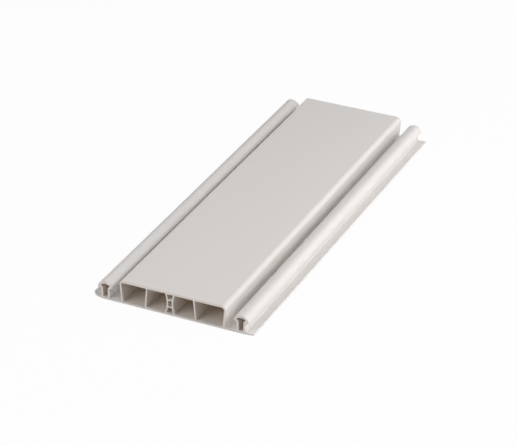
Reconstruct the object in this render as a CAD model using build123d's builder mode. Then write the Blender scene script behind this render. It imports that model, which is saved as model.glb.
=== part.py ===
from build123d import *
from math import asin, degrees
import os

# One straight length of a rigid hollow-chamber extrusion, lying on its flat underside.
# X runs across the section, Y along the length and Z up, in millimetres.
# The origin is on the underside, in the middle of the width and of the length.

length = 375.0

# Chambered body
body_width = 98.8  # over the side walls, at the top
height = 21.8
top_thickness = 1.8
base_thickness = 1.9  # floor of the body and the strips beside it
wall_thickness = 1.5
wall_lean = 1.8  # how far a side wall's foot stands inside its top
tight_corner = 3.0  # outer radius at the left top corner
round_corner = 4.0  # outer radius at the right top corner
foot_radius = 1.75  # outer hollow between a side wall and its strip

# Outer webs, with their heads tipped towards the middle of the body
web_thickness = 1.25
left_web = -24.5  # at mid-height, from the middle of the body
right_web = 20.6
web_tip = 0.95  # sideways shift of a web's head and foot from mid-height
root_radius = 0.7  # hollows where webs and skins meet

# Ladder web: two legs bowed towards each other, joined by two rungs
ladder_middle = -2.3
ladder_leg_spread = 4.0  # from the ladder's middle to a leg, at the skins
ladder_left_foot = 4.7  # the same at the foot of the left leg
ladder_waist_spread = 2.3  # and at mid-height
ladder_thickness = 1.2
upper_rung_drop = 5.4  # from the body's ceiling to the upper rung's middle
lower_rung_rise = 6.0  # from the body's floor to the lower rung's middle

# Snap rails, one beside each side wall: a hollow neck under a head with a
# round outer bulb and a sharp barb towards the body
rail_offset = 13.45  # from the side wall's top to the rail's middle
crown_height = 16.9
neck_width = 7.7
neck_wall = 1.8  # at the foot of the stem
neck_radius = 0.8  # hollows at the neck's inner foot and under the bulb
outer_foot_radius = 0.3  # hollow at the neck's outer foot
bulb_radius = 6.3
bulb_offset = 0.75  # from the rail's middle outwards
wing_drop = 6.6  # underside of the bulb below the crown
wing_radius = 0.9  # where the bulb turns under
barb_reach = 7.1  # from the rail's middle towards the body
barb_drop = 4.5  # barb's point below the crown
barb_root_drop = 6.8  # where the barb's underside meets the neck
barb_radius = 0.3

# Hollow of a rail: a stem in the neck that opens into a cap under the crown
stem_floor_rise = 0.65  # above the base strip's top face
stem_flare = 0.25  # how far each side of the stem leans out up to the cap
cap_spread = 4.3  # from the rail's middle to each tip of the cap
crown_wall = 2.05
cap_tip_drop = 3.95  # cap's tips below the crown
shoulder_drop = 5.5  # where the cap narrows to the stem
bore_radius = 0.25

# Cover lip beyond each rail
lip_reach = 11.85  # from the rail's middle to the lip's edge
left_lip_lift = 2.7  # underside of the edge above the flat underside
right_lip_lift = 0.9
lip_edge = 1.3  # thickness at the edge
edge_radius = 0.4
chip = 2.4  # corner knocked off the left lip at the near end

body_half = body_width / 2
ceiling = height - top_thickness
rail_x = body_half + rail_offset
edge_x = rail_x + lip_reach
neck_half = neck_width / 2
neck_inner = rail_x - neck_half
neck_outer = rail_x + neck_half
bulb_x = rail_x + bulb_offset
bulb_z = crown_height - bulb_radius
wing_z = crown_height - wing_drop
barb_x = rail_x - barb_reach
barb_z = crown_height - barb_drop
barb_root = crown_height - barb_root_drop


def wall_face(z):
    """Outer face of the right side wall at height z."""
    return body_half - wall_lean * (height - z) / height


def web_line(x, tip):
    """Centre line of a web that stands at x at mid-height, through both skins."""
    return Line((x - tip, 0), (x + tip, height))


with BuildPart() as slat_profile:
    with BuildSketch(Plane.XZ) as outline:
        # Base strips and cover lips, whose undersides lift in arcs
        for side, lift in ((-1, left_lip_lift), (1, right_lip_lift)):
            with BuildLine():
                underside = Line((0, 0), (side * rail_x, 0))
                lifted = TangentArc(underside @ 1, (side * edge_x, lift), tangent=underside % 1)
                lip_end = Line(lifted @ 1, (side * edge_x, lift + lip_edge))
                Polyline(
                    lip_end @ 1,
                    (side * neck_outer, base_thickness),
                    (0, base_thickness),
                    (0, 0),
                )
            make_face()
            for corner in (lip_end @ 0, lip_end @ 1):
                fillet(outline.vertices().sort_by_distance(corner)[0], radius=edge_radius)

        # Neck and head of the right-hand rail, mirrored to the left
        with BuildLine():
            inner_face = Line((neck_inner, base_thickness / 2), (neck_inner, barb_root))
            barb_under = Line(inner_face @ 1, (barb_x, barb_z))
            TangentArc((bulb_x, crown_height), barb_under @ 1, tangent=(-1, 0))
            bulb_sweep = 90 + degrees(asin((bulb_z - wing_z) / bulb_radius))
            bulb = CenterArc((bulb_x, bulb_z), bulb_radius, 90, -bulb_sweep)
            Polyline(
                bulb @ 1,
                (neck_outer, wing_z),
                (neck_outer, base_thickness / 2),
                inner_face @ 0,
            )
        rail = make_face()
        mirror(rail, about=Plane.YZ)
        wing_x = (bulb @ 1).X
        for side in (-1, 1):
            for (x, z), radius in (
                ((neck_inner, base_thickness), neck_radius),
                ((neck_outer, base_thickness), outer_foot_radius),
                ((neck_outer, wing_z), neck_radius),
                ((wing_x, wing_z), wing_radius),
                ((barb_x, barb_z), barb_radius),
            ):
                fillet(outline.vertices().sort_by_distance((side * x, z))[0], radius=radius)

        # Body, whose top corners differ
        with BuildLine():
            Polyline(
                (-body_half, height),
                (body_half, height),
                (wall_face(0), 0),
                (-wall_face(0), 0),
                close=True,
            )
        make_face()
        fillet(outline.vertices().sort_by_distance((-body_half, height))[0], radius=tight_corner)
        fillet(outline.vertices().sort_by_distance((body_half, height))[0], radius=round_corner)
        for side in (-1, 1):
            foot = (side * wall_face(base_thickness), base_thickness)
            fillet(outline.vertices().sort_by_distance(foot)[0], radius=foot_radius)
    extrude(amount=length / 2, both=True)

    with BuildSketch(Plane.XY) as knocked_corner:
        with BuildLine():
            Polyline(
                (-edge_x, -length / 2),
                (chip - edge_x, -length / 2),
                (-edge_x, chip - length / 2),
                close=True,
            )
        make_face()
    extrude(amount=left_lip_lift + lip_edge, mode=Mode.SUBTRACT)

    with BuildSketch(Plane.XZ) as chambers:
        with BuildLine():
            Polyline(
                (wall_thickness - wall_face(ceiling), ceiling),
                (wall_face(ceiling) - wall_thickness, ceiling),
                (wall_face(base_thickness) - wall_thickness, base_thickness),
                (wall_thickness - wall_face(base_thickness), base_thickness),
                close=True,
            )
        make_face()

        # Outer webs
        with BuildLine():
            web_line(left_web, web_tip)
            web_line(right_web, -web_tip)
        trace(line_width=web_thickness, mode=Mode.SUBTRACT)

        # Ladder web
        with BuildLine():
            for side, foot_spread in ((-1, ladder_left_foot), (1, ladder_leg_spread)):
                ThreePointArc(
                    (ladder_middle + side * foot_spread, base_thickness / 2),
                    (ladder_middle + side * ladder_waist_spread, (ceiling + base_thickness) / 2),
                    (ladder_middle + side * ladder_leg_spread, height - top_thickness / 2),
                )
        trace(line_width=ladder_thickness, mode=Mode.SUBTRACT)
        with Locations(
            (ladder_middle, ceiling - upper_rung_drop),
            (ladder_middle, base_thickness + lower_rung_rise),
        ):
            Rectangle(2 * ladder_waist_spread, ladder_thickness, mode=Mode.SUBTRACT)

        round_inside = (wall_face(ceiling) - wall_thickness, ceiling)
        fillet(chambers.vertices().sort_by_distance(round_inside)[1:], radius=root_radius)
        fillet(
            chambers.vertices().sort_by_distance(round_inside)[0],
            radius=round_corner - wall_thickness,
        )
    extrude(amount=length / 2, both=True, mode=Mode.SUBTRACT)

    with BuildSketch(Plane.XZ) as rail_bores:
        with BuildLine():
            stem_half = neck_half - neck_wall
            stem_floor = base_thickness + stem_floor_rise
            shoulder = crown_height - shoulder_drop
            cap_tip = crown_height - cap_tip_drop
            Polyline(
                (rail_x - cap_spread, cap_tip),
                (rail_x - stem_half - stem_flare, shoulder),
                (rail_x - stem_half, stem_floor),
                (rail_x + stem_half, stem_floor),
                (rail_x + stem_half + stem_flare, shoulder),
                (rail_x + cap_spread, cap_tip),
            )
            ThreePointArc(
                (rail_x + cap_spread, cap_tip),
                (rail_x, crown_height - crown_wall),
                (rail_x - cap_spread, cap_tip),
            )
        make_face()
        fillet(rail_bores.vertices(), radius=bore_radius)
        mirror(about=Plane.YZ)
    extrude(amount=length / 2, both=True, mode=Mode.SUBTRACT)

slat_profile.part.label = "slat_profile"

os.makedirs("parts", exist_ok=True)
export_step(slat_profile.part, "parts/slat_profile.step")
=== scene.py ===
from math import cos, pi, radians, sin

import bpy
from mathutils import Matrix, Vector


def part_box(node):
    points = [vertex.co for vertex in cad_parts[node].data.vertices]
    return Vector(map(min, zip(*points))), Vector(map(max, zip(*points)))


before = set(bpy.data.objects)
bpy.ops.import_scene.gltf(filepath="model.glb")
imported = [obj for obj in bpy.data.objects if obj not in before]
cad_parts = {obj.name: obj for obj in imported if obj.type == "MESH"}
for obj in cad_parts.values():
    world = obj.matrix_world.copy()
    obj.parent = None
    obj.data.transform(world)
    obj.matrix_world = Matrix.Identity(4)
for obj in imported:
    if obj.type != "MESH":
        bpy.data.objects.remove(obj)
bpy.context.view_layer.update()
scene = bpy.context.scene
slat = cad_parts["slat_profile"]
slatLow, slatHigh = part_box("slat_profile")
print("frame loaded, slat", [round(v, 4) for v in slatHigh - slatLow])


# camera

cameraSettings = {
    "azimuth": 25.38,  # degrees round from the near end, towards the round corner's side
    "elevation": 29.56,
    "distance": 2.1314,
    "aim": (-0.0107, 0.0, -0.0102),
    "lens": 166.6,
    "sensor": 36.0,
}


def directionFrom(azimuth, elevation):
    a, e = radians(azimuth), radians(elevation)
    return Vector((sin(a) * cos(e), -cos(a) * cos(e), sin(e)))


def makeCamera(settings):
    data = bpy.data.cameras.new("photoCamera")
    data.lens = settings["lens"]
    data.sensor_width = settings["sensor"]
    camera = bpy.data.objects.new("photoCamera", data)
    scene.collection.objects.link(camera)
    back = directionFrom(settings["azimuth"], settings["elevation"])
    camera.location = Vector(settings["aim"]) + settings["distance"] * back
    camera.rotation_euler = (
        radians(90 - settings["elevation"]),
        0.0,
        radians(settings["azimuth"]),
    )
    scene.camera = camera


makeCamera(cameraSettings)
print("camera placed")


# node helpers


def newMaterial(name):
    material = bpy.data.materials.new(name)
    material.use_nodes = True
    material.node_tree.nodes.clear()
    return material, material.node_tree


def feed(tree, socket, value):
    if isinstance(value, bpy.types.NodeSocket):
        tree.links.new(value, socket)
    else:
        socket.default_value = value


def addMath(tree, operation, *values):
    node = tree.nodes.new("ShaderNodeMath")
    node.operation = operation
    for socket, value in zip(node.inputs, values):
        feed(tree, socket, value)
    return node.outputs[0]


def addMix(tree, kind, factor, first, second):
    node = tree.nodes.new("ShaderNodeMix")
    node.data_type = kind
    firstIn, secondIn, result = {"FLOAT": (2, 3, 0), "RGBA": (6, 7, 2)}[kind]
    feed(tree, node.inputs[0], factor)
    feed(tree, node.inputs[firstIn], first)
    feed(tree, node.inputs[secondIn], second)
    return node.outputs[result]


def addNoise(tree, place, perMetre, detail=2.0):
    mapping = tree.nodes.new("ShaderNodeMapping")
    mapping.inputs["Scale"].default_value = perMetre
    tree.links.new(place, mapping.inputs["Vector"])
    noise = tree.nodes.new("ShaderNodeTexNoise")
    noise.inputs["Scale"].default_value = 1.0
    noise.inputs["Detail"].default_value = detail
    tree.links.new(mapping.outputs[0], noise.inputs["Vector"])
    return noise.outputs[0]


def between(tree, value, low, high):
    above = addMath(tree, "GREATER_THAN", value, low)
    below = addMath(tree, "LESS_THAN", value, high)
    return addMath(tree, "MULTIPLY", above, below)


def distanceFrom(tree, a, b, centreA, centreB):
    squareA = addMath(tree, "POWER", addMath(tree, "SUBTRACT", a, centreA), 2.0)
    squareB = addMath(tree, "POWER", addMath(tree, "SUBTRACT", b, centreB), 2.0)
    return addMath(tree, "SQRT", addMath(tree, "ADD", squareA, squareB))


def backgroundRays(tree):
    # 1 for rays from the camera and for those mirrored or bent by the object
    path = tree.nodes.new("ShaderNodeLightPath")
    seen = addMath(tree, "MAXIMUM", path.outputs["Is Camera Ray"], path.outputs["Is Glossy Ray"])
    return addMath(tree, "MAXIMUM", seen, path.outputs["Is Transmission Ray"])


# floor, sky and lamps

floorSettings = {
    "size": 12.0,
    "gap": 0.00005,  # below the slat
    "colour": (0.86, 0.86, 0.855, 1.0),
    "ownLight": 0.96,  # share of plain white in what the camera sees
}
skySettings = {"strength": 0.02, "colour": (1.0, 0.995, 0.985, 1.0)}
lampColour = (1.0, 0.98, 0.988)
lampSettings = {
    "rightLow": {"azimuth": 85, "elevation": 15, "distance": 1.1, "size": 0.53, "watts": 2.3},
    "right": {"azimuth": 85, "elevation": 35, "distance": 1.1, "size": 0.53, "watts": 2.55},
    "rightHigh": {"azimuth": 110, "elevation": 50, "distance": 1.1, "size": 0.53, "watts": 3.3},
    "rightBack": {"azimuth": 135, "elevation": 30, "distance": 2.5, "size": 1.2, "watts": 13.9},
    "back": {"azimuth": 160, "elevation": 12, "distance": 2.5, "size": 1.2, "watts": 1.5},
    "leftFront": {"azimuth": 335, "elevation": 25, "distance": 1.1, "size": 0.53, "watts": 3.15},
    "leftHigh": {"azimuth": 310, "elevation": 50, "distance": 2.5, "size": 1.2, "watts": 11.0},
    "front": {"azimuth": 20, "elevation": 12, "distance": 2.5, "size": 1.2, "watts": 12.6},
}


def makeFloor(settings):
    height = slatLow.z - settings["gap"]
    bpy.ops.mesh.primitive_plane_add(size=settings["size"], location=(0, 0, height))
    floor = bpy.context.object
    floor.name = "floor"
    material, tree = newMaterial("paleFloor")
    paint = tree.nodes.new("ShaderNodeBsdfDiffuse")
    paint.inputs["Color"].default_value = settings["colour"]
    glow = tree.nodes.new("ShaderNodeEmission")
    glow.inputs["Strength"].default_value = 1.0
    mix = tree.nodes.new("ShaderNodeMixShader")
    share = addMath(tree, "MULTIPLY", backgroundRays(tree), settings["ownLight"])
    out = tree.nodes.new("ShaderNodeOutputMaterial")
    tree.links.new(share, mix.inputs["Fac"])
    tree.links.new(paint.outputs[0], mix.inputs[1])
    tree.links.new(glow.outputs[0], mix.inputs[2])
    tree.links.new(mix.outputs[0], out.inputs["Surface"])
    floor.data.materials.append(material)


def makeSky(settings):
    world = bpy.data.worlds.new("studioSky")
    world.use_nodes = True
    scene.world = world
    tree = world.node_tree
    tree.nodes.clear()
    soft = tree.nodes.new("ShaderNodeBackground")
    soft.inputs["Color"].default_value = settings["colour"]
    soft.inputs["Strength"].default_value = settings["strength"]
    white = tree.nodes.new("ShaderNodeBackground")
    white.inputs["Strength"].default_value = 1.0
    white.inputs["Color"].default_value = (1.0, 1.0, 1.0, 1.0)
    mix = tree.nodes.new("ShaderNodeMixShader")
    out = tree.nodes.new("ShaderNodeOutputWorld")
    tree.links.new(backgroundRays(tree), mix.inputs["Fac"])
    tree.links.new(soft.outputs[0], mix.inputs[1])
    tree.links.new(white.outputs[0], mix.inputs[2])
    tree.links.new(mix.outputs[0], out.inputs["Surface"])


def makeLamp(name, settings):
    data = bpy.data.lights.new(name, "AREA")
    data.shape = "SQUARE"
    data.size = settings["size"]
    data.energy = settings["watts"]
    data.color = lampColour
    lamp = bpy.data.objects.new(name, data)
    scene.collection.objects.link(lamp)
    back = directionFrom(settings["azimuth"], settings["elevation"])
    lamp.location = settings["distance"] * back
    lamp.rotation_mode = "QUATERNION"
    lamp.rotation_quaternion = (-back).to_track_quat("-Z", "Y")


makeFloor(floorSettings)
makeSky(skySettings)
for lampName, lampValues in lampSettings.items():
    makeLamp(lampName, lampValues)
scene.view_settings.view_transform = "Standard"
print("floor, sky and lamps placed")


# plastic of the slat: satin skin, saw-cut ends, and painted shade in the chambers, at a rail's outer
# corner, along the base's cut and in a nick

plasticSettings = {
    "ior": 1.53,
    "skin": (0.8, 0.78, 0.751, 1.0),
    "skinShade": (0.782, 0.76, 0.73, 1.0),
    "driftPerMetre": (30.0, 4.0, 30.0),  # patches of slightly different tone and gloss
    "skinRoughness": 0.46,
    "roughnessDrift": 0.1,
    "lineGloss": 0.4,  # share of the die lines in the drift of the gloss
    "dieLine": 0.0009,  # metres from one faint lengthwise line to the next
    "dieLineRunPerMetre": 1.5,
    "dieLineDepth": 0.000006,
    "wave": 0.045,  # slow waves of the cooling wall
    "waveRun": 0.4,  # how often a wave comes along the slat, against across it
    "waveDepth": 0.000015,
    # painted shade: the skin is darkened towards the right rail's outer corner
    "cornerShade": (0.6, 0.59, 0.57, 1.0),
    "cornerShadeAt": (0.0672, 0.0024),  # corner between the right rail's neck and its cover lip, where the painted shade is darkest
    "cornerShadeReach": 0.005,
    "cornerShadeShare": 0.55,
    # the hollows are painted darker than the skin: painted shade inside the chambers and bores
    "chamberMouth": (0.71, 0.672, 0.622, 1.0),
    "chamber": (0.665, 0.555, 0.454, 1.0),
    "chamberFade": 0.025,  # depth at which the mouth's tone is gone, the painted shade deepening inwards
    "chamberRoughness": 0.5,
    "boreShaded": (0.655, 0.588, 0.528, 1.0),  # painted shade in the hollows of the rails
    "bodyHalf": 0.0494,  # beyond this the hollows are the rails'
    "cut": (0.7, 0.648, 0.602, 1.0),
    "cutShade": (0.62, 0.567, 0.525, 1.0),
    "cutFootShade": (0.565, 0.55, 0.52, 1.0),  # greyer along the base: painted shade near the floor
    "footShadeHeight": 0.0035,
    "cutRoughness": 0.62,
    "cutBand": 0.0001,  # depth of the cut face's finish
    "sawCentre": (0.03, -0.12),  # middle of the saw blade's arcs, seen from the end
    "sawMark": 0.0008,
    "sawMarkDepth": 0.00003,
    "sawWander": 9.0,  # radians by which an arc strays
    "sawWanderPerMetre": 90.0,
    "grainPerMetre": 2600.0,
    "grainShare": 0.45,
    "nickShade": (0.34, 0.28, 0.22, 1.0),  # painted shade of a small nick beside the ladder, at the near end
    "nickShadeAt": (-0.0079, 0.0202),
    "nickShadeRadius": 0.0007,
}
hollowSettings = {
    "wallX": 0.04865,  # middle of the side wall at the top
    "wallLean": 0.0826,  # how much nearer it comes for each metre down
    "floorZ": 0.001,
    "ceilingZ": 0.0208,
    "roundX": 0.0454,  # middle and mid-wall radius of the top corners
    "roundZ": 0.0178,
    "roundRadius": 0.00325,
    "railX": 0.06285,
    "stemHalf": 0.0029,
    "stemFloorZ": 0.0022,
    "capZ": 0.0102,  # middle and mid-wall radius of the rail's cap
    "capFromZ": 0.0112,
    "capRadius": 0.0055,
}


def chamberMask(tree, side, z, settings):
    # 1 up to the middle of the body's outer walls
    leaned = addMath(tree, "MULTIPLY", addMath(tree, "SUBTRACT", slatHigh.z, z), settings["wallLean"])
    inWidth = addMath(tree, "LESS_THAN", addMath(tree, "ADD", side, leaned), settings["wallX"])
    inHeight = between(tree, z, settings["floorZ"], settings["ceilingZ"])
    fromRound = distanceFrom(tree, side, z, settings["roundX"], settings["roundZ"])
    cornerFar = addMath(tree, "GREATER_THAN", fromRound, settings["roundRadius"])
    cornerX = addMath(tree, "GREATER_THAN", side, settings["roundX"])
    cornerZ = addMath(tree, "GREATER_THAN", z, settings["roundZ"])
    corner = addMath(tree, "MULTIPLY", addMath(tree, "MULTIPLY", cornerX, cornerZ), cornerFar)
    body = addMath(tree, "MULTIPLY", inWidth, inHeight)
    return addMath(tree, "MULTIPLY", body, addMath(tree, "SUBTRACT", 1.0, corner))


def boreMask(tree, side, z, settings):
    # 1 up to the middle of a rail's walls, in its stem and under its crown
    fromRail = addMath(tree, "ABSOLUTE", addMath(tree, "SUBTRACT", side, settings["railX"]))
    inStem = addMath(tree, "LESS_THAN", fromRail, settings["stemHalf"])
    stemHeight = between(tree, z, settings["stemFloorZ"], settings["capFromZ"])
    stem = addMath(tree, "MULTIPLY", inStem, stemHeight)
    fromCap = distanceFrom(tree, side, z, settings["railX"], settings["capZ"])
    capNear = addMath(tree, "LESS_THAN", fromCap, settings["capRadius"])
    cap = addMath(tree, "MULTIPLY", capNear, addMath(tree, "GREATER_THAN", z, settings["capFromZ"]))
    return addMath(tree, "MAXIMUM", stem, cap)


def sawMarks(tree, place, x, z, settings):
    # arcs left by the saw blade, under a rough grain
    centreX, centreZ = settings["sawCentre"]
    blade = distanceFrom(tree, x, z, centreX, centreZ)
    turns = addMath(tree, "MULTIPLY", blade, 2 * pi / settings["sawMark"])
    wander = addNoise(tree, place, [settings["sawWanderPerMetre"]] * 3)
    wander = addMath(tree, "MULTIPLY", wander, settings["sawWander"])
    arcs = addMath(tree, "SINE", addMath(tree, "ADD", turns, wander))
    arcs = addMath(tree, "MULTIPLY_ADD", arcs, 0.5, 0.5)
    grain = addNoise(tree, place, [settings["grainPerMetre"]] * 3, 3.0)
    return addMix(tree, "FLOAT", settings["grainShare"], arcs, grain)


def skinColour(tree, x, z, drift, settings):
    # the skin darkened near the right rail's outer corner is painted shade
    skin = addMix(tree, "RGBA", drift, settings["skin"], settings["skinShade"])
    shadeX, shadeZ = settings["cornerShadeAt"]
    fromCorner = distanceFrom(tree, x, z, shadeX, shadeZ)
    near = addMath(tree, "SUBTRACT", 1.0, addMath(tree, "DIVIDE", fromCorner, settings["cornerShadeReach"]))
    shadedShare = addMath(tree, "MULTIPLY", addMath(tree, "MAXIMUM", near, 0.0), settings["cornerShadeShare"])
    return addMix(tree, "RGBA", shadedShare, skin, settings["cornerShade"])


def hollowColour(tree, side, y, settings):
    # the chambers turn browner and darker with depth, and the bores have one darker tone: painted
    # shade inside the hollows
    depth = addMath(tree, "SUBTRACT", slatHigh.y, addMath(tree, "ABSOLUTE", y))
    deep = addMath(tree, "MINIMUM", addMath(tree, "DIVIDE", depth, settings["chamberFade"]), 1.0)
    chamber = addMix(tree, "RGBA", deep, settings["chamberMouth"], settings["chamber"])
    inRail = addMath(tree, "GREATER_THAN", side, settings["bodyHalf"])
    return addMix(tree, "RGBA", inRail, chamber, settings["boreShaded"])


def cutColour(tree, z, marks, settings):
    # the cut turns greyer towards the base: painted shade near the floor
    tone = addMix(tree, "RGBA", marks, settings["cutShade"], settings["cut"])
    raised = addMath(tree, "MINIMUM", addMath(tree, "DIVIDE", z, settings["footShadeHeight"]), 1.0)
    return addMix(tree, "RGBA", raised, settings["cutFootShade"], tone)


def nickShadeMask(tree, x, y, z, settings):
    # a dark spot at the nick in the top's cut edge: painted shade
    nickX, nickZ = settings["nickShadeAt"]
    fromNick = distanceFrom(tree, x, z, nickX, nickZ)
    inNick = addMath(tree, "LESS_THAN", fromNick, settings["nickShadeRadius"])
    nearEnd = addMath(tree, "LESS_THAN", y, slatLow.y + settings["nickShadeRadius"])
    return addMath(tree, "MULTIPLY", inNick, nearEnd)


def plasticRoughness(tree, drift, lines, hollow, cut, settings):
    mixed = addMix(tree, "FLOAT", settings["lineGloss"], drift, lines)
    gloss = addMath(tree, "SUBTRACT", mixed, 0.5)
    rough = addMath(
        tree, "MULTIPLY_ADD", gloss, settings["roughnessDrift"], settings["skinRoughness"]
    )
    rough = addMix(tree, "FLOAT", hollow, rough, settings["chamberRoughness"])
    return addMix(tree, "FLOAT", cut, rough, settings["cutRoughness"])


def plasticBump(tree, lines, waves, marks, cut, settings):
    # heights in metres, so the bump's distance stays at 1
    lineHeight = addMath(tree, "MULTIPLY", lines, settings["dieLineDepth"])
    skinHeight = addMath(tree, "MULTIPLY_ADD", waves, settings["waveDepth"], lineHeight)
    cutHeight = addMath(tree, "MULTIPLY", marks, settings["sawMarkDepth"])
    bump = tree.nodes.new("ShaderNodeBump")
    bump.inputs["Strength"].default_value = 1.0
    bump.inputs["Distance"].default_value = 1.0
    tree.links.new(addMix(tree, "FLOAT", cut, skinHeight, cutHeight), bump.inputs["Height"])
    return bump.outputs[0]


def makePlastic(settings, hollows):
    material, tree = newMaterial("extrudedPlastic")
    place = tree.nodes.new("ShaderNodeTexCoord").outputs["Object"]
    parts = tree.nodes.new("ShaderNodeSeparateXYZ")
    tree.links.new(place, parts.inputs[0])
    x, y, z = parts.outputs
    side = addMath(tree, "ABSOLUTE", x)

    chambers = chamberMask(tree, side, z, hollows)
    hollow = addMath(tree, "MAXIMUM", chambers, boreMask(tree, side, z, hollows))
    cutFrom = slatHigh.y - settings["cutBand"]
    cut = addMath(tree, "GREATER_THAN", addMath(tree, "ABSOLUTE", y), cutFrom)

    lineRate = 1 / settings["dieLine"]
    waveRate = 1 / settings["wave"]
    drift = addNoise(tree, place, settings["driftPerMetre"], 3.0)
    lines = addNoise(tree, place, (lineRate, settings["dieLineRunPerMetre"], lineRate))
    waves = addNoise(tree, place, (waveRate, settings["waveRun"] * waveRate, waveRate))
    marks = sawMarks(tree, place, x, z, settings)

    skin = skinColour(tree, x, z, drift, settings)
    colour = addMix(tree, "RGBA", hollow, skin, hollowColour(tree, side, y, settings))
    colour = addMix(tree, "RGBA", cut, colour, cutColour(tree, z, marks, settings))
    nickShaded = nickShadeMask(tree, x, y, z, settings)
    colour = addMix(tree, "RGBA", nickShaded, colour, settings["nickShade"])
    rough = plasticRoughness(tree, drift, lines, hollow, cut, settings)
    normal = plasticBump(tree, lines, waves, marks, cut, settings)

    shader = tree.nodes.new("ShaderNodeBsdfPrincipled")
    shader.inputs["IOR"].default_value = settings["ior"]
    tree.links.new(colour, shader.inputs["Base Color"])
    tree.links.new(rough, shader.inputs["Roughness"])
    tree.links.new(normal, shader.inputs["Normal"])
    out = tree.nodes.new("ShaderNodeOutputMaterial")
    tree.links.new(shader.outputs[0], out.inputs["Surface"])
    return material


plastic = makePlastic(plasticSettings, hollowSettings)
slat.data.materials.clear()
slat.data.materials.append(plastic)
print("slat dressed")
